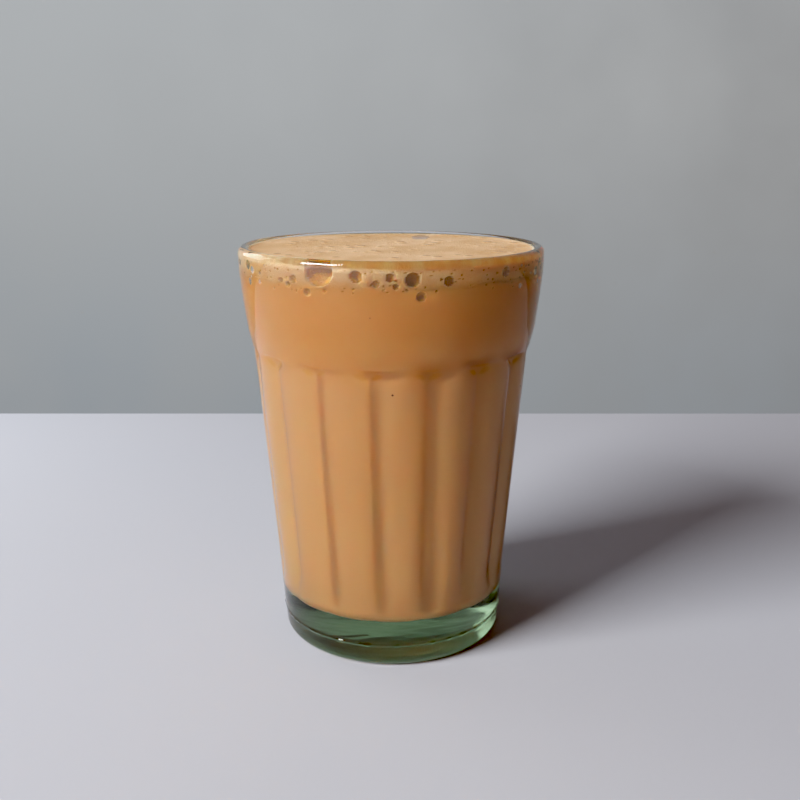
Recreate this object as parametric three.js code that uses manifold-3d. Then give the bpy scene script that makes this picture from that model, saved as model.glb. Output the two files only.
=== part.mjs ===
// A pressed-glass tumbler of masala chai: a glass with rounded upright panels, a smooth flared band
// under the rim and a thick base, the milky tea that fills it almost to the brim, and the froth of
// bubbles that floats on the tea.
// Millimetres, +Z up. The origin is the centre of the base, on the surface that the glass stands on.
import * as THREE from "three";
import { mergeVertices } from "three/addons/utils/BufferGeometryUtils.js";
import Module from "manifold-3d";

const { degToRad, lerp, mapLinear, smoothstep } = THREE.MathUtils;

// Driving dimensions of the glass; radii are outside unless they say inside
const HEIGHT = 88;
const RIM_RADIUS = 32.9;
const RIM_WALL = 2.4; // the lip is rounded to half of this
const BAND_MID_RADIUS = 32.35; // the smooth band under the rim, which flares
const BAND_MID_Z = 78;
const BAND_FOOT_RADIUS = 31.5;
const BAND_FOOT_Z = 71;
const PANEL_TOP_RADIUS = 30.3; // below the cove that leads into the band
const PANEL_TOP_Z = 66;
const HEEL_RADIUS = 24.9; // just above the rounded heel
const HEEL_ROUND = 2;
const FOOT_RING_RADIUS = 16; // inner edge of the flat ring that the glass rests on
const PUNT_DEPTH = 1; // rise of the hollow inside that ring
const PUNT_MID = 0.6; // where the hollow's curve is taken, as a share of its radius

// Panels: upright pillars of round section side by side round the body, with a groove between two
const PANEL_COUNT = 16;
const GROOVE_DEPTH = 1.1;
const PANEL_ROUND = 0.84; // half a panel's width, as a share of the radius of its section
const GROOVE_PHASE = degToRad(-98.2); // a groove a little left of the front, seen along +Y
const PANEL_ARCH = 3; // height over which a panel's top rounds off
const PANEL_TOP_SHARE = 0.55; // share of a panel's width that is left at its very top
const PANEL_TOP_FADE = 1.2; // height over which the grooves run out under the cove
const GROOVE_FOOT_Z = 10.5; // the grooves die out between these two heights
const GROOVE_FULL_Z = 19;

// The hollow
const FLOOR_Z = 9.5;
const FLOOR_RADIUS = 21.9; // inside, at the floor if its corner were sharp
const FLOOR_ROUND = 3;
const INNER_PANEL_TOP_RADIUS = 27.3; // inside, at the panels' top

// The tea and its froth
const GAP = 0.3; // clearance between neighbouring pieces
const TEA_TOP_Z = 82.2;
const FROTH_TOP_Z = 87.1;
const FROTH_SWELL = 0.2; // slow unevenness of the froth's top
const FROTH_SWELL_WAVES = 3;
const BUBBLE_SEED = 7;
const BUBBLE_TRIES = 400;
const BUBBLE_COUNT = 34;
const BUBBLE_LARGEST = 2.3; // radius
const BUBBLE_NEXT = 0.7; // the next largest, as a share of that
const BUBBLE_SMALLEST = 0.8;
const BUBBLE_STANDS = 0.22; // share of its radius that a bubble's dome stands above the froth
const BUBBLE_CROWDING = 0.3; // below 0.5 more of the bubbles gather near the wall
const BIG_BUBBLE_ANGLE = degToRad(-116); // the largest lies against the front wall

// Fineness
const PANEL_STEPS = 6; // steps round one panel
const GLASS_STEPS = PANEL_COUNT * PANEL_STEPS;
const TEA_STEPS = 48;
const FROTH_STEPS = 48;
const FROTH_RINGS = 7;
const ARC_STEPS = 4;

const wasm = await Module();
wasm.setup();

function point(r, z) {
  return new THREE.Vector2(r, z);
}

// Even steps from one value to another, both ends included.
function spread(from, to, count) {
  return Array.from({ length: count }, (_, i) => lerp(from, to, i / (count - 1)));
}

// Points of an arc about (r, z) from one angle to another, its first end left out.
function arc(r, z, radius, from, to) {
  const angles = spread(from, to, ARC_STEPS + 1).slice(1);
  return angles.map((a) => point(r + radius * Math.cos(a), z + radius * Math.sin(a)));
}

// A lathe about +Z from a profile of (radius, height), from the axis at the bottom round to the axis.
function latheZ(profile, steps) {
  return new THREE.LatheGeometry(profile, steps).rotateX(Math.PI / 2);
}

// Outside radius at a height on the body, on the panels' crests.
function bodyRadius(z) {
  return mapLinear(z, HEEL_ROUND, PANEL_TOP_Z, HEEL_RADIUS, PANEL_TOP_RADIUS);
}

// Inside radius at a height: straight beside the panels, then flaring with the band.
function innerRadius(z) {
  if (z <= PANEL_TOP_Z) {
    return mapLinear(z, FLOOR_Z, PANEL_TOP_Z, FLOOR_RADIUS, INNER_PANEL_TOP_RADIUS);
  }
  const lipFoot = HEIGHT - RIM_WALL / 2;
  return mapLinear(z, PANEL_TOP_Z, lipFoot, INNER_PANEL_TOP_RADIUS, RIM_RADIUS - RIM_WALL);
}

// Sag of a panel's round section: 0 at mid panel, where the share is 0.
function sag(share) {
  return 1 - Math.sqrt(1 - (PANEL_ROUND * share) ** 2);
}

// How far the grooves cut into the body at an angle and a height. They widen between the panels' tops.
function grooveCut(angle, z) {
  const turn = ((angle - GROOVE_PHASE) / (2 * Math.PI)) * PANEL_COUNT;
  const across = Math.abs(2 * (turn - Math.floor(turn)) - 1); // 0 at mid panel, 1 in a groove
  const up = smoothstep(z, PANEL_TOP_Z - PANEL_ARCH, PANEL_TOP_Z);
  const edge = Math.min(1, across / lerp(1, PANEL_TOP_SHARE, up));
  const depth = sag(edge) / sag(1);
  const top = smoothstep(PANEL_TOP_Z - z, 0, PANEL_TOP_FADE);
  const foot = smoothstep(z, GROOVE_FOOT_Z, GROOVE_FULL_Z);
  return GROOVE_DEPTH * depth * top * foot;
}

// The underside and the heel, from the axis outwards.
function footProfile() {
  const flat = HEEL_RADIUS - HEEL_ROUND;
  return [
    point(0, PUNT_DEPTH),
    point(FOOT_RING_RADIUS * PUNT_MID, PUNT_DEPTH * (1 - PUNT_MID ** 2)),
    point(FOOT_RING_RADIUS, 0),
    point(flat, 0),
    ...arc(flat, HEEL_ROUND, HEEL_ROUND, -Math.PI / 2, 0),
  ];
}

// The outside above the heel: panels, cove, band and lip.
function wallProfile() {
  const lip = RIM_WALL / 2;
  const low = spread(GROOVE_FOOT_Z, GROOVE_FULL_Z, 4);
  const high = spread(GROOVE_FULL_Z, PANEL_TOP_Z - 2 * PANEL_ARCH, 4).slice(1);
  const tops = spread(PANEL_TOP_Z - 2 * PANEL_ARCH, PANEL_TOP_Z, 9).slice(1);
  const cove = [0.28, 0.72].map((share, i) =>
    point(lerp(PANEL_TOP_RADIUS, BAND_FOOT_RADIUS, share), lerp(PANEL_TOP_Z, BAND_FOOT_Z, (i + 1) / 3)),
  );
  return [
    ...[...low, ...high, ...tops].map((z) => point(bodyRadius(z), z)),
    ...cove,
    point(BAND_FOOT_RADIUS, BAND_FOOT_Z),
    point(BAND_MID_RADIUS, BAND_MID_Z),
    point(RIM_RADIUS, HEIGHT - 2 * RIM_WALL),
    point(RIM_RADIUS, HEIGHT - lip),
    ...arc(RIM_RADIUS - lip, HEIGHT - lip, lip, 0, Math.PI / 2),
    ...arc(RIM_RADIUS - lip, HEIGHT - lip, lip, Math.PI / 2, Math.PI),
  ];
}

// The inside, from the lip down to the middle of the floor.
function hollowProfile() {
  const corner = FLOOR_Z + FLOOR_ROUND;
  const heights = [BAND_MID_Z, PANEL_TOP_Z, (PANEL_TOP_Z + corner) / 2, corner];
  return [
    ...heights.map((z) => point(innerRadius(z), z)),
    ...arc(innerRadius(corner) - FLOOR_ROUND, corner, FLOOR_ROUND, 0, -Math.PI / 2),
    point(0, FLOOR_Z),
  ];
}

// The lathe, turned so that a row of its points lies in every groove, with its outer wall pressed in.
function glassGeometry() {
  const profile = [...footProfile(), ...wallProfile(), ...hollowProfile()];
  const geometry = latheZ(profile, GLASS_STEPS).rotateZ(GROOVE_PHASE);
  const position = geometry.getAttribute("position");
  for (let i = 0; i < position.count; i++) {
    const [x, y, z] = [position.getX(i), position.getY(i), position.getZ(i)];
    const radius = Math.hypot(x, y);
    const outside = z > HEEL_ROUND && z < PANEL_TOP_Z && radius > bodyRadius(z) - GAP;
    if (outside) {
      const scale = (radius - grooveCut(Math.atan2(y, x), z)) / radius;
      position.setXY(i, x * scale, y * scale);
    }
  }
  return geometry;
}

// The tea, clear of the glass all round, with a flat top under the froth.
function teaGeometry() {
  const floor = FLOOR_Z + GAP;
  const corner = floor + FLOOR_ROUND;
  const cornerRadius = innerRadius(corner) - GAP - FLOOR_ROUND;
  const heights = [(PANEL_TOP_Z + corner) / 2, PANEL_TOP_Z, BAND_MID_Z, TEA_TOP_Z];
  const profile = [
    point(0, floor),
    point(cornerRadius, floor),
    ...arc(cornerRadius, corner, FLOOR_ROUND, -Math.PI / 2, 0),
    ...heights.map((z) => point(innerRadius(z) - GAP, z)),
    point(0, TEA_TOP_Z),
  ];
  return latheZ(profile, TEA_STEPS);
}

// Even random numbers from 0 to 1, the same on every run.
function seededRandom(seed) {
  const [factor, prime] = [48271, 2147483647];
  let state = seed;
  return () => {
    state = (state * factor) % prime;
    return state / prime;
  };
}

// Height of the froth's top: a slow swell that dies out at the middle.
function frothTop(x, y) {
  const share = Math.hypot(x, y) / innerRadius(FROTH_TOP_Z);
  return FROTH_TOP_Z + FROTH_SWELL * share * Math.sin(FROTH_SWELL_WAVES * Math.atan2(y, x));
}

function bubbleAt(away, angle, radius) {
  return { x: away * Math.cos(angle), y: away * Math.sin(angle), radius };
}

// Bubbles on the froth, the largest first, none crossing another, more of them near the wall.
function bubbles(room) {
  const random = seededRandom(BUBBLE_SEED);
  const made = [bubbleAt(room - BUBBLE_LARGEST, BIG_BUBBLE_ANGLE, BUBBLE_LARGEST)];
  for (let i = 0; i < BUBBLE_TRIES && made.length < BUBBLE_COUNT; i++) {
    const size = (1 - made.length / BUBBLE_COUNT) ** 2;
    const radius = lerp(BUBBLE_SMALLEST, BUBBLE_LARGEST * BUBBLE_NEXT, size);
    const away = (room - radius) * random() ** BUBBLE_CROWDING;
    const next = bubbleAt(away, 2 * Math.PI * random(), radius);
    if (made.every((b) => Math.hypot(b.x - next.x, b.y - next.y) > b.radius + radius + GAP)) {
      made.push(next);
    }
  }
  return made;
}

// A closed geometry as a solid for joining, and a solid as a geometry.
function solidOf(geometry) {
  const bare = geometry.clone();
  bare.deleteAttribute("normal");
  bare.deleteAttribute("uv");
  const merged = mergeVertices(bare);
  const mesh = new wasm.Mesh({
    numProp: 3,
    vertProperties: merged.getAttribute("position").array,
    triVerts: new Uint32Array(merged.index.array),
  });
  return new wasm.Manifold(mesh);
}

function geometryOf(solid) {
  const mesh = solid.getMesh();
  return new THREE.BufferGeometry()
    .setAttribute("position", new THREE.BufferAttribute(mesh.vertProperties, 3))
    .setIndex(new THREE.BufferAttribute(mesh.triVerts, 1));
}

// The froth: an uneven disc on the tea with the larger bubbles standing out of it as domes.
function frothGeometry() {
  const under = TEA_TOP_Z + GAP;
  const wall = innerRadius(under) - GAP;
  const rings = spread(wall, 0, FROTH_RINGS + 1);
  const disc = latheZ(
    [point(0, under), point(wall, under), ...rings.map((r) => point(r, FROTH_TOP_Z))],
    FROTH_STEPS,
  );
  const position = disc.getAttribute("position");
  for (let i = 0; i < position.count; i++) {
    if (position.getZ(i) > under + GAP) {
      position.setZ(i, frothTop(position.getX(i), position.getY(i)));
    }
  }
  let froth = solidOf(disc);
  for (const { x, y, radius } of bubbles(wall - GAP)) {
    const z = frothTop(x, y) - radius * (1 - BUBBLE_STANDS);
    const detail = radius > BUBBLE_LARGEST / 2 ? 2 : 1;
    froth = froth.add(solidOf(new THREE.IcosahedronGeometry(radius, detail).translate(x, y, z)));
  }
  return geometryOf(froth);
}

function piece(name, geometry, look) {
  const mesh = new THREE.Mesh(geometry, new THREE.MeshStandardMaterial(look));
  mesh.name = name;
  return mesh;
}

const chai = new THREE.Group();
chai.add(
  piece("glass", glassGeometry(), {
    color: 0xc9dccb,
    roughness: 0.04,
    metalness: 0,
    transparent: true,
    opacity: 0.35,
  }),
  piece("tea", teaGeometry(), { color: 0xb98650, roughness: 0.25, metalness: 0 }),
  piece("froth", frothGeometry(), { color: 0xd3ad80, roughness: 0.45, metalness: 0 }),
);

export default chai;
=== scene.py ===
import math
import random

import bpy
import numpy as np
from mathutils import Euler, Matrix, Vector


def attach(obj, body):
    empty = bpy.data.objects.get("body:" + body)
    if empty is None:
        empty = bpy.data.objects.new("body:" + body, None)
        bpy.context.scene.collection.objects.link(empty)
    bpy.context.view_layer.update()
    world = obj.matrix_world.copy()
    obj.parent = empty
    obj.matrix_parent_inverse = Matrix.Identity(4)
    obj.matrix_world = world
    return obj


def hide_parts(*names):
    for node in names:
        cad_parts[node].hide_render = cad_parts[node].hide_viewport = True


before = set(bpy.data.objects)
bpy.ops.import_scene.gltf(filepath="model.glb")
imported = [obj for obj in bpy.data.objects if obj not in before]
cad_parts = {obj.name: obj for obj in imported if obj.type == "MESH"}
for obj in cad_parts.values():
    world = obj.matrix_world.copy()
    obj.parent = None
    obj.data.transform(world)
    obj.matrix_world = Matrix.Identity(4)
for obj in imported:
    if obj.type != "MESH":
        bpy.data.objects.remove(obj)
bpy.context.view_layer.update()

MM = 0.001

# The glass, in millimetres, as in the solids
HEIGHT = 88.0
RIM_RADIUS = 32.9
RIM_WALL = 2.4
PANEL_TOP_RADIUS = 30.3
PANEL_TOP_Z = 66.0
BAND_FOOT_RADIUS = 31.5
BAND_FOOT_Z = 71.0
BAND_MID_RADIUS = 32.35
BAND_MID_Z = 78.0
BAND_ROUND = 1.4
BAND_ROUND_STEPS = 9
HEEL_RADIUS = 24.9
HEEL_ROUND = 2.0
FOOT_RING_RADIUS = 16.0
PUNT_DEPTH = 1.0
PANEL_COUNT = 16
GROOVE_DEPTH = 1.1
PANEL_ROUND = 0.84
GROOVE_PHASE = math.radians(-98.2)
PANEL_ARCH = 3.0
PANEL_TOP_SHARE = 0.55
PANEL_TOP_FADE = 1.2
GROOVE_TOP_Z = 67.0
GROOVE_FOOT_Z = 10.5
GROOVE_FULL_Z = 19.0
FLOOR_Z = 9.5
FLOOR_RADIUS = 21.9
FLOOR_ROUND = 3.0
INNER_PANEL_TOP_RADIUS = 27.3

# Rings of points on the glass, and how they are told apart
GLASS_STEPS = PANEL_COUNT * 28
AXIS_RADIUS = 1.0
PUNT_RINGS = 14
FOOT_RINGS = 5
HEEL_RINGS = 12
ABOVE_HEEL_RINGS = 4
SEAM_RINGS = 17
LOW_BODY_RINGS = 14
BODY_RINGS = 24
LEDGE_RINGS = 46
LEDGE_BELOW = 6.0
LEDGE_ABOVE = 3.0
BAND_RINGS = 14
LIP_RINGS = 28
INSIDE_RINGS = 24
FLOOR_CORNER_RINGS = 12
FLOOR_RINGS = 8
OUTSIDE_MARGIN = 0.3
PUNT_MARGIN = 0.01

# The mould's seam round the heel, a low ridge with small beads, and the waves of the underside
SEAM_Z = 5.2
SEAM_WIDTH = 0.28
SEAM_HEIGHT = 0.09
SEAM_REACH = 1.0
SEAM_SEED = 3
SEAM_BEADS = 90
SEAM_BEAD_WIDTH = 0.4
SEAM_BEAD_HEIGHT = 0.2
UNDERSIDE_WAVE = 0.05
UNDERSIDE_WAVE_LENGTH = 7.0
UNDERSIDE_WAVE_SHIFT = 2.0
UNDERSIDE_WAVE_FADE = FOOT_RING_RADIUS / 4

# The tea reaches a little into the wall, so that no air shows between them
WALL_REACH = 0.12
TEA_TOP_Z = 83.2
TEA_BAND_Z = 80.0
TEA_STEPS = 900
TEA_FLOOR_RINGS = 5
TEA_CORNER_RINGS = 8
TEA_LOW_RINGS = 16
TEA_BAND_RINGS = 18
TEA_LID_RINGS = 5

# The froth's top stands just below the brim
FROTH_UNDER_Z = 81.4
FROTH_TOP_Z = 87.1
FROTH_CLIMB_Z = 87.5
FROTH_CLIMB_WIDTH = 1.4
FROTH_SWELL = 0.12
FROTH_SWELL_WAVES = 3
FROTH_REACH = 0.16
FROTH_FOOT_INSET = 0.6
FROTH_FOOT_RISE = 1.5
FROTH_FOOT_WAVES = ((7, 0.35), (19, 0.2), (43, 0.12))
FROTH_STEPS = 640
FROTH_RINGS = 72
FROTH_SIDE_RINGS = 44
FROTH_AXIS_RADIUS = 0.3

# Bubbles pressed against the glass: angle from the front in degrees, height and width in millimetres
MAIN_BUBBLES = (
    (-26, 85.6, 5.8),
    (-12, 84.9, 2.4),
    (8, 84.4, 2.8),
    (21, 83.9, 1.9),
    (0, 84.8, 1.7),
    (-5, 83.6, 1.4),
    (-37, 83.8, 1.6),
    (-43, 83.4, 1.1),
    (2, 83.1, 1.2),
    (46, 84.8, 2.0),
)
FRONT_ANGLE = -90
FRONT_SPAN = 52
WALL_BUBBLE_SEED = 11
WALL_BUBBLE_COUNT = 330
WALL_BUBBLE_WIDTHS = (0.35, 1.9)
WALL_BUBBLE_HEIGHTS = (81.8, 86.2)
WALL_BUBBLE_GAP = 0.15
FRONT_SIZE_POWER = 7
BACK_SIZE_POWER = 4
WALL_HEIGHT_POWER = 1.4
BUBBLE_DEPTH = 0.7
BUBBLE_TOP_Z = 87.2
BUBBLE_TOP_FADE = 1.0

# The bare wet patch towards the froth's back: its middle and its half widths
BARE_AT = (6.8, 24.0)
BARE_HALF = (2.4, 5.2)
BARE_CLEARANCE = 1.2

# Bubbles on the froth, as low domes, the larger ones darker
FOAM_SEED = 7
FOAM_COUNT = 1100
FOAM_WIDTHS = (0.5, 2.8)
FOAM_MARGIN = 0.2
FOAM_SIZE_POWER = 9
FOAM_SPREAD_POWER = 0.42
FOAM_CROWDING = 0.92
FOAM_DOME_SHARE = 0.14
FOAM_DOME_TOP = 0.2
FOAM_DARK_RADIUS = 1.2

# Glass: clear, green where it is thick, faintly rippled and smeared, worn where it stands
GLASS_CLEAR = (1.0, 1.0, 1.0, 1.0)
GLASS_IOR = 1.52
GLASS_TINT = (0.5, 0.64, 0.44, 1.0)
GLASS_TINT_DENSITY = 60.0
SMEAR_SCALE = 60.0
SMEAR_RANGE = (0.35, 0.8)
SMEAR_ROUGHNESS = (0.004, 0.03)
WORN_Z = (1.5, 0.3)
WORN_ROUGHNESS = 0.2
RIPPLE_SCALE = 110.0
RIPPLE_DETAIL = 1.0
RIPPLE_STRENGTH = 0.04
RIPPLE_DEPTH = 2.0

# Tea: a darker band above, a paler body below, painted paler to stand in for the reflection on the glass
# panels in front of it, lather towards the brim and specks of spice
TEA_IOR = 1.1
TEA_SCATTER = (1.0, 1.0, 1.0)
TEA_SCATTER_DEPTH = 1.0
TEA_ROUGHNESS = (0.35, 0.1)
TEA_UPPER_DARK = (0.77, 0.39, 0.15, 1.0)
TEA_UPPER_PALE = (0.81, 0.42, 0.175, 1.0)
# The paler lower tea is a painted reflection of the glass panels in front of it
TEA_LOWER_PAINTED_REFLECTION = (0.81, 0.475, 0.245, 1.0)
TEA_UPPER_Z = (60.0, 74.0)
# The tea's underside is painted pale: painted light seen through the base
TEA_UNDERSIDE_PAINTED_LIGHT = (1.0, 0.62, 0.5, 1.0)
TEA_UNDERSIDE_Z = (9.8, 9.5)
SWIRL_SCALE = 45.0
SWIRL_DETAIL = 4.0
SWIRL_RANGE = (0.35, 0.65)
LATHER = (0.82, 0.56, 0.33, 1.0)
LATHER_Z = (83.5, 86.8)
LATHER_SCALE = 300.0
LATHER_WAVE = 3.0
# Bubbles against the wall are painted dark: painted shade in their hollows
BUBBLE_PAINTED_SHADE = (0.5, 0.22, 0.025, 1.0)
SPECK_COLOUR = (0.09, 0.035, 0.015, 1.0)
SPECK_SCALE = 240.0
SPECK_SIZE = 0.05
SPECK_SHARE = 0.22

# Froth: a pale mottled lip, pale foam painted paler than the top as painted light, a patchy grained top,
# wet bubbles and the bare patch
FROTH_IOR = 1.2
FROTH_SCATTER = (1.0, 0.9, 0.8)
FROTH_SCATTER_DEPTH = 2.0
FROTH_ROUGHNESS = (0.5, 0.1)
FROTH_DARK = (0.53, 0.287, 0.138, 1.0)
FROTH_PALE = (0.68, 0.405, 0.225, 1.0)
FROTH_BUBBLE = (0.53, 0.31, 0.155, 1.0)
FROTH_BUBBLE_RANGE = (0.3, 1.0)
FROTH_PATCH_SCALE = 90.0
FROTH_PATCH_DETAIL = 4.0
FROTH_PATCH_RANGE = (0.35, 0.7)
TOP_RADII = (30.6, 30.2)
TOP_HEIGHTS = (86.2, 86.8)
# The lip is pale foam, painted paler than the froth's top as painted light
LIP_DARK = (0.89, 0.61, 0.36, 1.0)
LIP_PALE = (0.94, 0.71, 0.47, 1.0)
LIP_Z = (85.6, 86.4)
LIP_SCALE = 420.0
LIP_RANGE = (0.35, 0.65)
BARE_COLOUR = (0.45, 0.28, 0.16, 1.0)
BARE_SCALE = 420.0
BARE_UNEVEN = 0.9
BARE_EDGE = (1.5, 1.2)
GRAIN_SCALE = 2600.0
GRAIN_DEPTH = 0.15
GRAIN_STRENGTH = 0.5

# The view of the photograph
CAMERA_AT = (1.89, -214.3, 109.8)
CAMERA_PITCH = 14.87
CAMERA_LENS = 44.15
CAMERA_SENSOR = 36
CAMERA_NEAR = 0.01

# Stage, in metres: a table, and a wall painted paler at the right as painted light, and darker low down and
# at the upper left as painted shade
STAGE_SIDE = 2.2
TABLE_FRONT_Y = -1.6
TABLE_BACK_Y = 0.178
TABLE_Z = -0.0002
TABLE_COLOUR = (0.45, 0.46, 0.52)
WALL_Y = 0.95
WALL_FOOT_Z = -1.0
WALL_TOP_Z = 2.4
WALL_LEFT = (0.41, 0.46, 0.5)
# The paler right end of the wall is painted light
WALL_RIGHT_PAINTED_LIGHT = (0.6, 0.67, 0.72)
PAINT_ROUGHNESS = 0.9
PAINTED_LIGHT_X = (-0.7, 0.7)
# Painted shade that darkens the wall low down
LOW_PAINTED_SHADE_TINT = (0.76, 0.83, 0.91, 1.0)
LOW_PAINTED_SHADE_Z = (-0.25, 0.2)
# Painted shade that darkens the wall high up at the left
ABOVE_PAINTED_SHADE_SHARE = 0.25
ABOVE_PAINTED_SHADE_X = (-0.25, 0.1)
ABOVE_PAINTED_SHADE_Z = (0.27, 0.45)
PAINT_CLOUD_SCALE = 6.0

# Light: a large window in front, a small one at the side and the room's glow
KEY_DIRECTION = (-0.82, -0.57)
KEY_ELEVATION = 29
KEY_DISTANCE = 1.2
KEY_SIZE = (0.6, 0.47)
KEY_POWER = 30.5
KEY_COLOUR = (1.0, 0.995, 0.97)
SIDE_DIRECTION = (-0.866, 0.5)
SIDE_ELEVATION = 22
SIDE_DISTANCE = 0.32
SIDE_SIZE = (0.2, 0.18)
SIDE_POWER = 0.3
SIDE_COLOUR = (0.86, 0.95, 1.0)
WORLD_STRENGTH = 0.14
WORLD_COLOUR = (1.0, 0.58, 0.38, 1.0)

# Tones of the picture, and how sharply light passes the grooves
BLACK_LEVEL = 0.032
TONE_POINTS = ((0.35, 0.365), (0.7, 0.63))
TONE_END = 0.82
TONE_CURVE = 3
GLOSSY_BLUR = 0.1

# Places of the sockets that share a name
MIX_FIRST = 6
MIX_SECOND = 7
MIX_RESULT = 2
FROM_LOW = 1
FROM_HIGH = 2
TO_LOW = 3
TO_HIGH = 4
ACROSS = 0
UP = 2


def smoothstep(x, low, high):
    """0 below low, 1 above high and a smooth rise between."""
    t = np.clip((x - low) / (high - low), 0.0, 1.0)
    return t * t * (3.0 - 2.0 * t)


def arc(r, z, radius, start, end, count):
    """Points of an arc about (r, z), its first end left out."""
    angles = np.radians(np.linspace(start, end, count + 1)[1:])
    return [(r + radius * math.cos(a), z + radius * math.sin(a)) for a in angles]


def onward(first, last, count):
    """Evenly spaced values, the first one left out."""
    return np.linspace(first, last, count)[1:]


def body_radius(z):
    """Outside radius of the body on the panels' crests."""
    return np.interp(z, (HEEL_ROUND, PANEL_TOP_Z), (HEEL_RADIUS, PANEL_TOP_RADIUS))


def outer_radius(z):
    """Outside radius above the heel, with the corners of the band rounded."""
    heights = (HEEL_ROUND, PANEL_TOP_Z, BAND_FOOT_Z, BAND_MID_Z, HEIGHT - 2 * RIM_WALL, HEIGHT)
    radii = (HEEL_RADIUS, PANEL_TOP_RADIUS, BAND_FOOT_RADIUS, BAND_MID_RADIUS, RIM_RADIUS, RIM_RADIUS)
    nearby = np.linspace(-BAND_ROUND, BAND_ROUND, BAND_ROUND_STEPS)
    return float(np.mean(np.interp(z + nearby, heights, radii)))


def inner_radius(z):
    """Inside radius: straight beside the panels, then flaring with the band, then round the lip."""
    lip = RIM_WALL / 2
    lip_foot = HEIGHT - lip
    heights = (FLOOR_Z, PANEL_TOP_Z, lip_foot)
    radii = (FLOOR_RADIUS, INNER_PANEL_TOP_RADIUS, RIM_RADIUS - RIM_WALL)
    straight = np.interp(z, heights, radii)
    over = np.clip(np.asarray(z) - lip_foot, 0.0, lip)
    return straight + lip - np.sqrt(lip * lip - over * over)


def groove_cut(angle, z):
    """How far the grooves cut into the body. They widen between the panels' round tops."""
    turn = (angle - GROOVE_PHASE) / (2 * math.pi) * PANEL_COUNT
    across = np.abs(2 * (turn - np.floor(turn)) - 1)
    up = smoothstep(z, GROOVE_TOP_Z - PANEL_ARCH, GROOVE_TOP_Z)
    edge = np.minimum(1.0, across / (1.0 - (1.0 - PANEL_TOP_SHARE) * up))
    depth = (1.0 - np.sqrt(1.0 - (PANEL_ROUND * edge) ** 2)) / (1.0 - math.sqrt(1.0 - PANEL_ROUND ** 2))
    top = smoothstep(GROOVE_TOP_Z - z, 0.0, PANEL_TOP_FADE)
    foot = smoothstep(z, GROOVE_FOOT_Z, GROOVE_FULL_Z)
    return GROOVE_DEPTH * depth * top * foot


def polar(profile, steps):
    """Radius, height and angle of every point of a profile turned round the axis."""
    rings = np.array(profile)
    angle = np.linspace(0.0, 2 * math.pi, steps, endpoint=False)
    radius = np.repeat(rings[:, :1], steps, axis=1)
    height = np.repeat(rings[:, 1:], steps, axis=1)
    return radius, height, np.broadcast_to(angle, radius.shape)


def ring_faces(count, steps):
    """Faces between the rings, and round the point on the axis at each end."""
    here = np.arange(steps)
    after = (here + 1) % steps
    faces = []
    for ring in range(count - 1):
        low, high = ring * steps, (ring + 1) * steps
        faces.extend(np.stack((low + here, low + after, high + after, high + here), axis=1).tolist())
    bottom, top = count * steps, count * steps + 1
    last = (count - 1) * steps
    faces.extend((bottom, int(b), int(a)) for a, b in zip(here, after))
    faces.extend((top, last + int(a), last + int(b)) for a, b in zip(here, after))
    return faces


def turned(name, radius, height, angle, bottom_z, top_z, shade=None):
    """Closed mesh object from rings of points, closed by a point on the axis at each end."""
    points = np.stack((radius * np.cos(angle), radius * np.sin(angle), height), axis=-1).reshape(-1, 3)
    points = np.vstack((points, ((0, 0, bottom_z), (0, 0, top_z)))) * MM
    mesh = bpy.data.meshes.new(name)
    mesh.from_pydata(points.tolist(), [], ring_faces(*radius.shape))
    mesh.shade_smooth()
    if shade is not None:
        values = np.append(shade.ravel(), (0.0, 0.0)).astype(np.float32)
        mesh.attributes.new("shade", "FLOAT", "POINT").data.foreach_set("value", values)
    made = bpy.data.objects.new(name, mesh)
    bpy.context.scene.collection.objects.link(made)
    return made


def outside_heights():
    """Heights of the rings up the outside, close together at the seam and at the panels' tops."""
    seam_foot, seam_top = SEAM_Z - SEAM_REACH, SEAM_Z + SEAM_REACH
    ledge_foot, ledge_top = PANEL_TOP_Z - LEDGE_BELOW, BAND_FOOT_Z + LEDGE_ABOVE
    above_heel = onward(HEEL_ROUND, seam_foot, ABOVE_HEEL_RINGS)
    seam = onward(seam_foot, seam_top, SEAM_RINGS)
    low_body = onward(seam_top, GROOVE_FULL_Z, LOW_BODY_RINGS)
    body = onward(GROOVE_FULL_Z, ledge_foot, BODY_RINGS)
    ledge = onward(ledge_foot, ledge_top, LEDGE_RINGS)
    band = onward(ledge_top, HEIGHT - RIM_WALL / 2, BAND_RINGS)
    return (*above_heel, *seam, *low_body, *body, *ledge, *band)


def glass_profile():
    """From the middle of the underside up the outside, over the lip and down the inside."""
    lip = RIM_WALL / 2
    corner = FLOOR_Z + FLOOR_ROUND
    hollow = np.linspace(AXIS_RADIUS, FOOT_RING_RADIUS, PUNT_RINGS)
    punt = [(r, PUNT_DEPTH * (1 - (r / FOOT_RING_RADIUS) ** 2)) for r in hollow]
    ring = [(r, 0.0) for r in onward(FOOT_RING_RADIUS, HEEL_RADIUS - HEEL_ROUND, FOOT_RINGS)]
    heel = arc(HEEL_RADIUS - HEEL_ROUND, HEEL_ROUND, HEEL_ROUND, -90, 0, HEEL_RINGS)
    outside = [(outer_radius(z), z) for z in outside_heights()]
    rim = arc(RIM_RADIUS - lip, HEIGHT - lip, lip, 0, 180, LIP_RINGS)
    inside = [(float(inner_radius(z)), z) for z in onward(HEIGHT - lip, corner, INSIDE_RINGS)]
    turn_at = float(inner_radius(corner)) - FLOOR_ROUND
    turn = arc(turn_at, corner, FLOOR_ROUND, 0, -90, FLOOR_CORNER_RINGS)
    floor = [(r, FLOOR_Z) for r in onward(turn[-1][0], AXIS_RADIUS, FLOOR_RINGS)]
    return punt + ring + heel + outside + rim + inside + turn + floor


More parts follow.
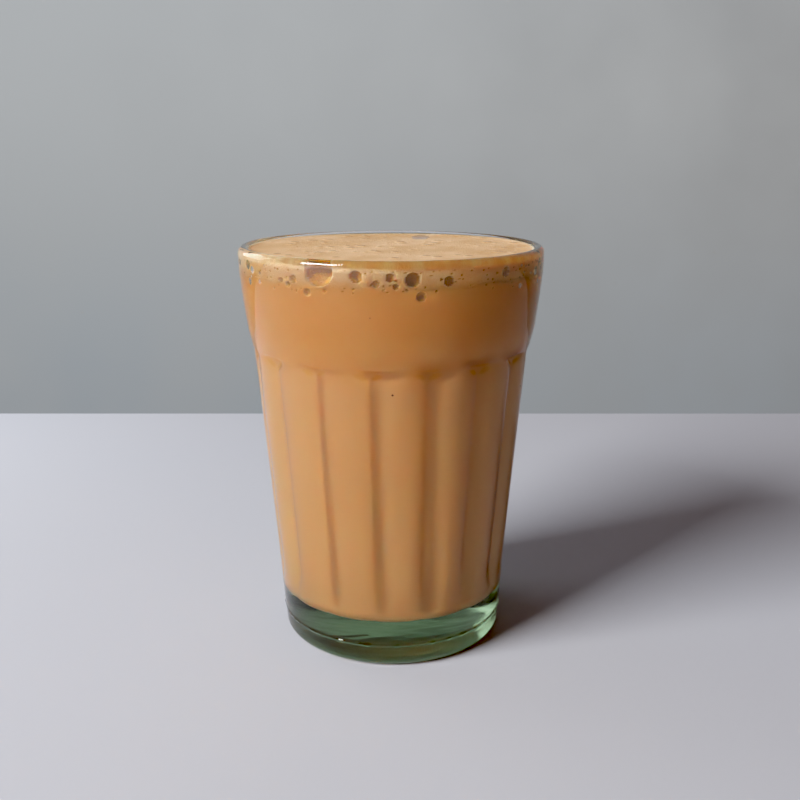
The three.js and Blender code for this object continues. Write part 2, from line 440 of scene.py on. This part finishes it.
def seam_ridge(angle, z):
    """How far the mould's seam stands out of the heel."""
    draw = random.Random(SEAM_SEED)
    ridge = np.full_like(angle, SEAM_HEIGHT)
    for _ in range(SEAM_BEADS):
        away = np.mod(angle - draw.uniform(0, 2 * math.pi) + math.pi, 2 * math.pi) - math.pi
        bead = SEAM_BEAD_HEIGHT * draw.random()
        ridge = ridge + bead * np.exp(-((away * HEEL_RADIUS / SEAM_BEAD_WIDTH) ** 2))
    return ridge * np.exp(-(((z - SEAM_Z) / SEAM_WIDTH) ** 2))


def underside_wave(radius, angle):
    """Shallow waves of the pressed underside, none on the ring it stands on."""
    turn = 2 * math.pi / UNDERSIDE_WAVE_LENGTH
    x, y = radius * np.cos(angle), radius * np.sin(angle)
    wave = 1 + np.sin(turn * x + np.sin(turn * y)) * np.sin(turn * y + UNDERSIDE_WAVE_SHIFT)
    return UNDERSIDE_WAVE * wave * smoothstep(FOOT_RING_RADIUS - radius, 0.0, UNDERSIDE_WAVE_FADE)


def make_glass():
    """The tumbler, with its panels, its seam and its waved underside."""
    radius, height, angle = polar(glass_profile(), GLASS_STEPS)
    outer = radius > body_radius(height) - OUTSIDE_MARGIN
    outside = (height > HEEL_ROUND) & (height < GROOVE_TOP_Z) & outer
    under = (height < PUNT_DEPTH + PUNT_MARGIN) & (radius < FOOT_RING_RADIUS)
    height = height + np.where(under, underside_wave(radius, angle), 0.0)
    radius = radius - np.where(outside, groove_cut(angle, height) - seam_ridge(angle, height), 0.0)
    return turned("glass_panelled", radius, height, angle, PUNT_DEPTH, FLOOR_Z)


def wall_bubbles():
    """Bubbles pressed against the wall, as (angle, height, radius): the main ones, then smaller ones."""
    draw = random.Random(WALL_BUBBLE_SEED)
    small, large = WALL_BUBBLE_WIDTHS
    low, high = WALL_BUBBLE_HEIGHTS
    made = [(math.radians(a + FRONT_ANGLE), z, width / 2) for a, z, width in MAIN_BUBBLES]
    for _ in range(WALL_BUBBLE_COUNT):
        a = math.radians(draw.uniform(-180, 180) + FRONT_ANGLE)
        front = abs((math.degrees(a) - FRONT_ANGLE + 180) % 360 - 180) < FRONT_SPAN
        share = draw.random() ** (FRONT_SIZE_POWER if front else BACK_SIZE_POWER)
        radius = (small + (large - small) * share) / 2
        z = high - radius - (high - low) * draw.random() ** WALL_HEIGHT_POWER
        room = radius + WALL_BUBBLE_GAP
        if all(math.hypot((a - b) * RIM_RADIUS, z - y) > room + r for b, y, r in made):
            made.append((a, z, radius))
    return made


def press_bubbles(radius, height, angle):
    """Sinks a round hollow into a wall for every bubble. Also gives 1 inside the bubbles, where their
    painted shade goes.
    """
    shade = np.zeros_like(radius)
    fade = smoothstep(BUBBLE_TOP_Z - height, 0.0, BUBBLE_TOP_FADE)
    pressed = radius
    for a, z, size in wall_bubbles():
        across = (np.mod(angle - a + math.pi, 2 * math.pi) - math.pi) * radius
        away = np.hypot(across, height - z)
        hollow = np.sqrt(np.clip(size * size - away * away, 0.0, None))
        pressed = np.where(away < size, radius - (WALL_REACH + BUBBLE_DEPTH * hollow) * fade, pressed)
        shade = np.where(away < size, fade, shade)
    return pressed, shade


def make_tea():
    """The tea below the froth."""
    bottom = FLOOR_Z - WALL_REACH
    corner = FLOOR_Z + FLOOR_ROUND
    side = float(inner_radius(corner)) + WALL_REACH
    profile = [(r, bottom) for r in np.linspace(AXIS_RADIUS, side - FLOOR_ROUND, TEA_FLOOR_RINGS)]
    profile += arc(side - FLOOR_ROUND, bottom + FLOOR_ROUND, FLOOR_ROUND, -90, 0, TEA_CORNER_RINGS)
    low = onward(corner, TEA_BAND_Z, TEA_LOW_RINGS)
    band = onward(TEA_BAND_Z, TEA_TOP_Z, TEA_BAND_RINGS)
    profile += [(float(inner_radius(z)) + WALL_REACH, z) for z in (*low, *band)]
    lid = [(r, TEA_TOP_Z) for r in np.linspace(RIM_RADIUS - 2 * RIM_WALL, AXIS_RADIUS, TEA_LID_RINGS)]
    radius, height, angle = polar(profile + lid, TEA_STEPS)
    rows = slice(len(profile) - len(band), len(profile))
    radius, shade = radius.copy(), np.zeros_like(radius)
    radius[rows], shade[rows] = press_bubbles(radius[rows], height[rows], angle[rows])
    return turned("tea_body", radius, height, angle, bottom, TEA_TOP_Z, shade)


def froth_top(x, y):
    """Slow unevenness of the froth's top."""
    share = np.hypot(x, y) / RIM_RADIUS
    return FROTH_TOP_Z + FROTH_SWELL * share * np.sin(FROTH_SWELL_WAVES * np.arctan2(y, x))


def foam_bubbles():
    """Bubbles on the froth, as (x, y, radius), the large ones first, none crossing another."""
    draw = random.Random(FOAM_SEED)
    room = float(inner_radius(FROTH_TOP_Z)) - FOAM_MARGIN
    made = []
    small, large = FOAM_WIDTHS
    for i in range(FOAM_COUNT):
        share = 1.0 - i / FOAM_COUNT
        radius = (small + (large - small) * share ** FOAM_SIZE_POWER) / 2
        away = (room - radius) * draw.random() ** FOAM_SPREAD_POWER
        a = draw.uniform(0.0, 2 * math.pi)
        x, y = away * math.cos(a), away * math.sin(a)
        from_bare = math.hypot((x - BARE_AT[0]) / BARE_HALF[0], (y - BARE_AT[1]) / BARE_HALF[1])
        apart = all(math.hypot(x - u, y - v) > FOAM_CROWDING * (radius + r) for u, v, r in made)
        if from_bare >= BARE_CLEARANCE and apart:
            made.append((x, y, radius))
    return made


def froth_relief(x, y):
    """Height of the froth's bubbles and how dark each looks."""
    lift = np.zeros_like(x)
    shade = np.zeros_like(x)
    for u, v, size in foam_bubbles():
        away = np.hypot(x - u, y - v) / size
        dome = np.sqrt(np.clip(1.0 - away * away, 0.0, None))
        lift = np.where(away < 1.0, min(FOAM_DOME_SHARE * size, FOAM_DOME_TOP) * dome, lift)
        shade = np.where(away < 1.0, dome * min(1.0, size / FOAM_DARK_RADIUS), shade)
    return lift, shade


def foot_inset(z, angle):
    """How far the froth's uneven foot draws back into the tea."""
    uneven = sum(size * np.sin(count * angle + count) for count, size in FROTH_FOOT_WAVES)
    return FROTH_FOOT_INSET * (1.0 - smoothstep(z - uneven, FROTH_UNDER_Z, FROTH_UNDER_Z + FROTH_FOOT_RISE))


def make_froth():
    """The froth: its foot on the tea, its side against the glass, its top with domed bubbles."""
    climb = np.linspace(FROTH_UNDER_Z, FROTH_CLIMB_Z, FROTH_SIDE_RINGS)
    foot = [(r, FROTH_UNDER_Z) for r in (AXIS_RADIUS, RIM_RADIUS - 2 * RIM_WALL)]
    side = [(float(inner_radius(z)) + FROTH_REACH, z) for z in climb]
    edge = side[-1][0]
    rings = [(r, FROTH_TOP_Z) for r in onward(edge, FROTH_AXIS_RADIUS, FROTH_RINGS)]
    radius, height, angle = polar(foot + side + rings, FROTH_STEPS)
    radius, height, shade = radius.copy(), height.copy(), np.zeros_like(radius)
    rows = slice(len(foot), len(foot) + len(side))
    radius[rows] -= foot_inset(height[rows], angle[rows])
    radius[rows], shade[rows] = press_bubbles(radius[rows], height[rows], angle[rows])
    rows = slice(len(foot) + len(side), None)
    x, y = radius[rows] * np.cos(angle[rows]), radius[rows] * np.sin(angle[rows])
    rise = (FROTH_CLIMB_Z - FROTH_TOP_Z) * np.exp(-(edge - radius[rows]) / FROTH_CLIMB_WIDTH)
    lift, shade[rows] = froth_relief(x, y)
    height[rows] = froth_top(x, y) + rise + lift
    return turned("froth_top", radius, height, angle, FROTH_UNDER_Z, FROTH_TOP_Z, shade)


def add(tree, kind, inputs=None, **settings):
    """A node with its settings and inputs, each a value or another node's output."""
    made = tree.nodes.new(kind)
    for key, value in settings.items():
        setattr(made, key, value)
    for key, value in (inputs or {}).items():
        if isinstance(value, bpy.types.NodeSocket):
            tree.links.new(value, made.inputs[key])
        else:
            made.inputs[key].default_value = value
    return made


def mix(tree, factor, first, second, blend="MIX"):
    """Colour between two colours."""
    inputs = {0: factor, MIX_FIRST: first, MIX_SECOND: second}
    made = add(tree, "ShaderNodeMix", inputs, data_type="RGBA", blend_type=blend)
    return made.outputs[MIX_RESULT]


def ramp(tree, value, low, high):
    """A value taken smoothly from low..high to 0..1, held at both ends."""
    inputs = {0: value, FROM_LOW: low, FROM_HIGH: high}
    return add(tree, "ShaderNodeMapRange", inputs, interpolation_type="SMOOTHSTEP").outputs[0]


def ramp_mm(tree, value, low, high):
    """A ramp between two lengths in millimetres."""
    return ramp(tree, value, low * MM, high * MM)


def spread(tree, share, first, last):
    """A value taken evenly from 0..1 to first..last."""
    return add(tree, "ShaderNodeMapRange", {0: share, TO_LOW: first, TO_HIGH: last}).outputs[0]


def reckon(tree, operation, *values):
    """A sum, product or other result of numbers."""
    return add(tree, "ShaderNodeMath", dict(enumerate(values)), operation=operation).outputs[0]


def reckon_vector(tree, operation, *values):
    """A sum, product or other result of vectors."""
    return add(tree, "ShaderNodeVectorMath", dict(enumerate(values)), operation=operation).outputs[0]


def length(tree, vector):
    """The length of a vector."""
    return add(tree, "ShaderNodeVectorMath", {0: vector}, operation="LENGTH").outputs["Value"]


def noise(tree, place, scale, detail=3.0):
    """Cloudy values about a half."""
    inputs = {"Vector": place, "Scale": scale, "Detail": detail}
    return add(tree, "ShaderNodeTexNoise", inputs).outputs["Fac"]


def coordinate(tree, place, axis):
    """One coordinate of a place."""
    return add(tree, "ShaderNodeSeparateXYZ", {0: place}).outputs[axis]


def bubble_shade(tree):
    """1 inside the bubbles, 0 elsewhere, as stored in the mesh."""
    return add(tree, "ShaderNodeAttribute", attribute_name="shade").outputs["Fac"]


def bumped(tree, shader, strength, depth, height):
    """Fine relief, its depth in millimetres."""
    bump = add(tree, "ShaderNodeBump", {"Strength": strength, "Distance": depth * MM, "Height": height})
    tree.links.new(bump.outputs[0], shader.inputs["Normal"])


def milky(shader, ior, scatter, depth):
    """Lets light sink in and scatter, to a depth in millimetres."""
    shader.inputs["IOR"].default_value = ior
    shader.inputs["Subsurface Weight"].default_value = 1.0
    shader.inputs["Subsurface Radius"].default_value = scatter
    shader.inputs["Subsurface Scale"].default_value = depth * MM


def start(name):
    """A material with its tree, its shader and the object's own coordinates."""
    material = bpy.data.materials.new(name)
    material.use_nodes = True
    tree = material.node_tree
    place = add(tree, "ShaderNodeTexCoord").outputs["Object"]
    return material, tree, tree.nodes["Principled BSDF"], place


def glass_roughness(tree, place):
    """Faint smears, and wear where the glass stands."""
    smear = ramp(tree, noise(tree, place, SMEAR_SCALE), *SMEAR_RANGE)
    smeared = spread(tree, smear, *SMEAR_ROUGHNESS)
    high, low = WORN_Z
    ends = {FROM_LOW: high * MM, FROM_HIGH: low * MM, TO_LOW: 0.0, TO_HIGH: WORN_ROUGHNESS}
    worn = add(tree, "ShaderNodeMapRange", {0: coordinate(tree, place, UP), **ends})
    return reckon(tree, "ADD", smeared, worn.outputs[0])


def glass_material():
    """Clear glass that is green where it is thick."""
    material, tree, shader, place = start("green_tinted_glass")
    shader.inputs["Base Color"].default_value = GLASS_CLEAR
    shader.inputs["IOR"].default_value = GLASS_IOR
    shader.inputs["Transmission Weight"].default_value = 1.0
    tree.links.new(glass_roughness(tree, place), shader.inputs["Roughness"])
    ripple = noise(tree, place, RIPPLE_SCALE, RIPPLE_DETAIL)
    bumped(tree, shader, RIPPLE_STRENGTH, RIPPLE_DEPTH, ripple)
    body = add(tree, "ShaderNodeVolumeAbsorption", {"Color": GLASS_TINT, "Density": GLASS_TINT_DENSITY})
    tree.links.new(body.outputs[0], tree.nodes["Material Output"].inputs["Volume"])
    return material


def specks(tree, place):
    """Sparse dark specks of spice: 1 in a speck, 0 elsewhere."""
    cell = add(tree, "ShaderNodeTexVoronoi", {"Vector": place, "Scale": SPECK_SCALE})
    near = reckon(tree, "LESS_THAN", cell.outputs["Distance"], SPECK_SIZE)
    chosen = add(tree, "ShaderNodeSeparateColor", {0: cell.outputs["Color"]})
    rare = reckon(tree, "LESS_THAN", chosen.outputs[0], SPECK_SHARE)
    return reckon(tree, "MULTIPLY", near, rare)


def band_colour(tree, place, height):
    """Tea colour that turns to pale lather towards the brim."""
    swirl = ramp(tree, noise(tree, place, SWIRL_SCALE, SWIRL_DETAIL), *SWIRL_RANGE)
    upper = mix(tree, swirl, TEA_UPPER_DARK, TEA_UPPER_PALE)
    # Painted reflection: the tea below the band is painted paler
    colour = mix(tree, ramp_mm(tree, height, *TEA_UPPER_Z), TEA_LOWER_PAINTED_REFLECTION, upper)
    wavy = reckon(tree, "MULTIPLY_ADD", noise(tree, place, LATHER_SCALE), LATHER_WAVE * MM, height)
    return mix(tree, ramp_mm(tree, wavy, *LATHER_Z), colour, LATHER)


def tea_material():
    """Milky tea with bubbles painted dark brown as painted shade, an underside painted pale as painted
    light, and a few specks.
    """
    material, tree, shader, place = start("milky_tea")
    height = coordinate(tree, place, UP)
    shade = bubble_shade(tree)
    # Painted shade inside the bubbles' hollows
    colour = mix(tree, shade, band_colour(tree, place, height), BUBBLE_PAINTED_SHADE)
    # Painted light: the underside is painted pale
    colour = mix(tree, ramp_mm(tree, height, *TEA_UNDERSIDE_Z), colour, TEA_UNDERSIDE_PAINTED_LIGHT)
    colour = mix(tree, specks(tree, place), colour, SPECK_COLOUR)
    tree.links.new(colour, shader.inputs["Base Color"])
    tree.links.new(spread(tree, shade, *TEA_ROUGHNESS), shader.inputs["Roughness"])
    milky(shader, TEA_IOR, TEA_SCATTER, TEA_SCATTER_DEPTH)
    return material


def bare_patch(tree, place):
    """1 on the bare wet patch of the froth, 0 elsewhere."""
    middle = [value * MM for value in BARE_AT] + [0.0]
    scale = [1.0 / (value * MM) for value in BARE_HALF] + [0.0]
    shifted = reckon_vector(tree, "SUBTRACT", place, middle)
    away = length(tree, reckon_vector(tree, "MULTIPLY", shifted, scale))
    uneven = reckon(tree, "MULTIPLY_ADD", noise(tree, place, BARE_SCALE), BARE_UNEVEN, away)
    return ramp(tree, uneven, *BARE_EDGE)


def side_colour(tree, place, height, shade):
    """Colour of the froth against the wall: bubbles painted dark as painted shade, and its pale mottled
    lip, pale foam painted paler as painted light.
    """
    # Painted shade inside the bubbles' hollows
    side = mix(tree, shade, band_colour(tree, place, height), BUBBLE_PAINTED_SHADE)
    mottle = ramp(tree, noise(tree, place, LIP_SCALE), *LIP_RANGE)
    # Partly painted light: the lip is painted paler than the top
    lip = mix(tree, mottle, LIP_DARK, LIP_PALE)
    return mix(tree, ramp_mm(tree, height, *LIP_Z), side, lip)


def top_colour(tree, place, hollow, bare):
    """Colour of the froth's top, with its bubbles and its bare patch."""
    patch = noise(tree, place, FROTH_PATCH_SCALE, FROTH_PATCH_DETAIL)
    top = mix(tree, ramp(tree, patch, *FROTH_PATCH_RANGE), FROTH_DARK, FROTH_PALE)
    top = mix(tree, hollow, top, FROTH_BUBBLE)
    return mix(tree, bare, top, BARE_COLOUR)


def on_top(tree, place, height):
    """1 on the froth's top, 0 on its side and its lip."""
    flat = reckon_vector(tree, "MULTIPLY", place, (1.0, 1.0, 0.0))
    inner = ramp_mm(tree, length(tree, flat), *TOP_RADII)
    upper = ramp_mm(tree, height, *TOP_HEIGHTS)
    return reckon(tree, "MULTIPLY", inner, upper)


def froth_material():
    """Fine froth that is wet on its bubbles and on its bare patch."""
    material, tree, shader, place = start("tea_froth")
    height = coordinate(tree, place, UP)
    shade = bubble_shade(tree)
    hollow = ramp(tree, shade, *FROTH_BUBBLE_RANGE)
    bare = bare_patch(tree, place)
    side = side_colour(tree, place, height, shade)
    top = top_colour(tree, place, hollow, bare)
    colour = mix(tree, on_top(tree, place, height), side, top)
    tree.links.new(colour, shader.inputs["Base Color"])
    grain = add(tree, "ShaderNodeTexVoronoi", {"Vector": place, "Scale": GRAIN_SCALE})
    firm = spread(tree, bare, GRAIN_STRENGTH, 0.0)
    bumped(tree, shader, firm, GRAIN_DEPTH, grain.outputs["Distance"])
    wet = reckon(tree, "MAXIMUM", hollow, bare)
    tree.links.new(spread(tree, wet, *FROTH_ROUGHNESS), shader.inputs["Roughness"])
    milky(shader, FROTH_IOR, FROTH_SCATTER, FROTH_SCATTER_DEPTH)
    return material


def paint_with_painted_light_and_shade(name, left, right):
    """Matt paint that goes from one colour at the left to a paler one at the right as painted light, with
    painted shade low down and at the upper left.
    """
    material, tree, shader, place = start(name)
    across = coordinate(tree, place, ACROSS)
    up = coordinate(tree, place, UP)
    first, last = [*left, 1.0], [*right, 1.0]
    # Painted shade: darker high up at the left
    shaded_above = [ABOVE_PAINTED_SHADE_SHARE * value for value in left] + [1.0]
    # Painted light: paler towards the right
    colour = mix(tree, ramp(tree, across, *PAINTED_LIGHT_X), first, last)
    # Painted shade: darker low down
    low = mix(tree, 1.0, colour, LOW_PAINTED_SHADE_TINT, "MULTIPLY")
    colour = mix(tree, ramp(tree, up, *LOW_PAINTED_SHADE_Z), low, colour)
    above = mix(tree, ramp(tree, across, *ABOVE_PAINTED_SHADE_X), shaded_above, last)
    colour = mix(tree, ramp(tree, up, *ABOVE_PAINTED_SHADE_Z), colour, above)
    cloud = mix(tree, noise(tree, place, PAINT_CLOUD_SCALE), colour, first)
    tree.links.new(cloud, shader.inputs["Base Color"])
    shader.inputs["Roughness"].default_value = PAINT_ROUGHNESS
    return material


def plane(name, corners, left, right):
    """A flat piece of the stage."""
    mesh = bpy.data.meshes.new(name)
    mesh.from_pydata(corners, [], [(0, 1, 2, 3)])
    made = bpy.data.objects.new(name, mesh)
    made.data.materials.append(paint_with_painted_light_and_shade(name + "_paint", left, right))
    bpy.context.scene.collection.objects.link(made)


def make_stage():
    """The table and the wall behind it."""
    left, right = -STAGE_SIDE, STAGE_SIDE
    front, back = TABLE_FRONT_Y, TABLE_BACK_Y
    table = [(left, front, TABLE_Z), (right, front, TABLE_Z), (right, back, TABLE_Z), (left, back, TABLE_Z)]
    plane("table_top", table, TABLE_COLOUR, TABLE_COLOUR)
    low, high = WALL_FOOT_Z, WALL_TOP_Z
    wall = [(left, WALL_Y, low), (right, WALL_Y, low), (right, WALL_Y, high), (left, WALL_Y, high)]
    plane("grey_wall", wall, WALL_LEFT, WALL_RIGHT_PAINTED_LIGHT)


def make_window(name, direction, elevation, distance, size, power, colour):
    """A soft rectangle of light that faces the glass."""
    along = math.cos(math.radians(elevation)) * distance
    up = math.sin(math.radians(elevation)) * distance
    middle = Vector((0, 0, HEIGHT / 2 * MM))
    lamp = bpy.data.lights.new(name, "AREA")
    lamp.shape = "RECTANGLE"
    lamp.size, lamp.size_y = size
    lamp.energy = power
    lamp.color = colour
    window = bpy.data.objects.new(name, lamp)
    window.location = middle + Vector((direction[0] * along, direction[1] * along, up))
    window.rotation_euler = (middle - window.location).to_track_quat("-Z", "Y").to_euler()
    bpy.context.scene.collection.objects.link(window)


def make_light():
    """The two windows and the glow of the room."""
    front = (KEY_DIRECTION, KEY_ELEVATION, KEY_DISTANCE, KEY_SIZE, KEY_POWER, KEY_COLOUR)
    side = (SIDE_DIRECTION, SIDE_ELEVATION, SIDE_DISTANCE, SIDE_SIZE, SIDE_POWER, SIDE_COLOUR)
    make_window("front_window", *front)
    make_window("side_window", *side)
    world = bpy.data.worlds.new("room")
    world.use_nodes = True
    world.node_tree.nodes["Background"].inputs["Color"].default_value = WORLD_COLOUR
    world.node_tree.nodes["Background"].inputs["Strength"].default_value = WORLD_STRENGTH
    bpy.context.scene.world = world


def make_camera():
    """The place and the angle of the view."""
    data = bpy.data.cameras.new("view")
    data.lens = CAMERA_LENS
    data.sensor_width = CAMERA_SENSOR
    data.clip_start = CAMERA_NEAR
    camera = bpy.data.objects.new("view", data)
    camera.location = Vector(CAMERA_AT) * MM
    camera.rotation_euler = Euler((math.radians(90 - CAMERA_PITCH), 0, 0))
    bpy.context.scene.collection.objects.link(camera)
    bpy.context.scene.camera = camera


def set_tones():
    """Tones of the picture, with sharp light through the glass."""
    scene = bpy.context.scene
    scene.cycles.use_denoising = True
    scene.cycles.blur_glossy = GLOSSY_BLUR
    look = scene.view_settings
    look.view_transform = "Standard"
    look.use_curve_mapping = True
    look.curve_mapping.black_level = (BLACK_LEVEL, BLACK_LEVEL, BLACK_LEVEL)
    tone = look.curve_mapping.curves[TONE_CURVE]
    tone.points[-1].location = (1.0, TONE_END)
    for value, shown in TONE_POINTS:
        tone.points.new(value, shown)
    look.curve_mapping.update()


def dress(piece, material, node):
    """Gives a piece its material and puts it in the place of its solid."""
    piece.data.materials.append(material)
    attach(piece, "root")
    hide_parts(node)


make_camera()
make_light()
make_stage()
dress(make_glass(), glass_material(), "glass")
dress(make_tea(), tea_material(), "tea")
dress(make_froth(), froth_material(), "froth")
set_tones()
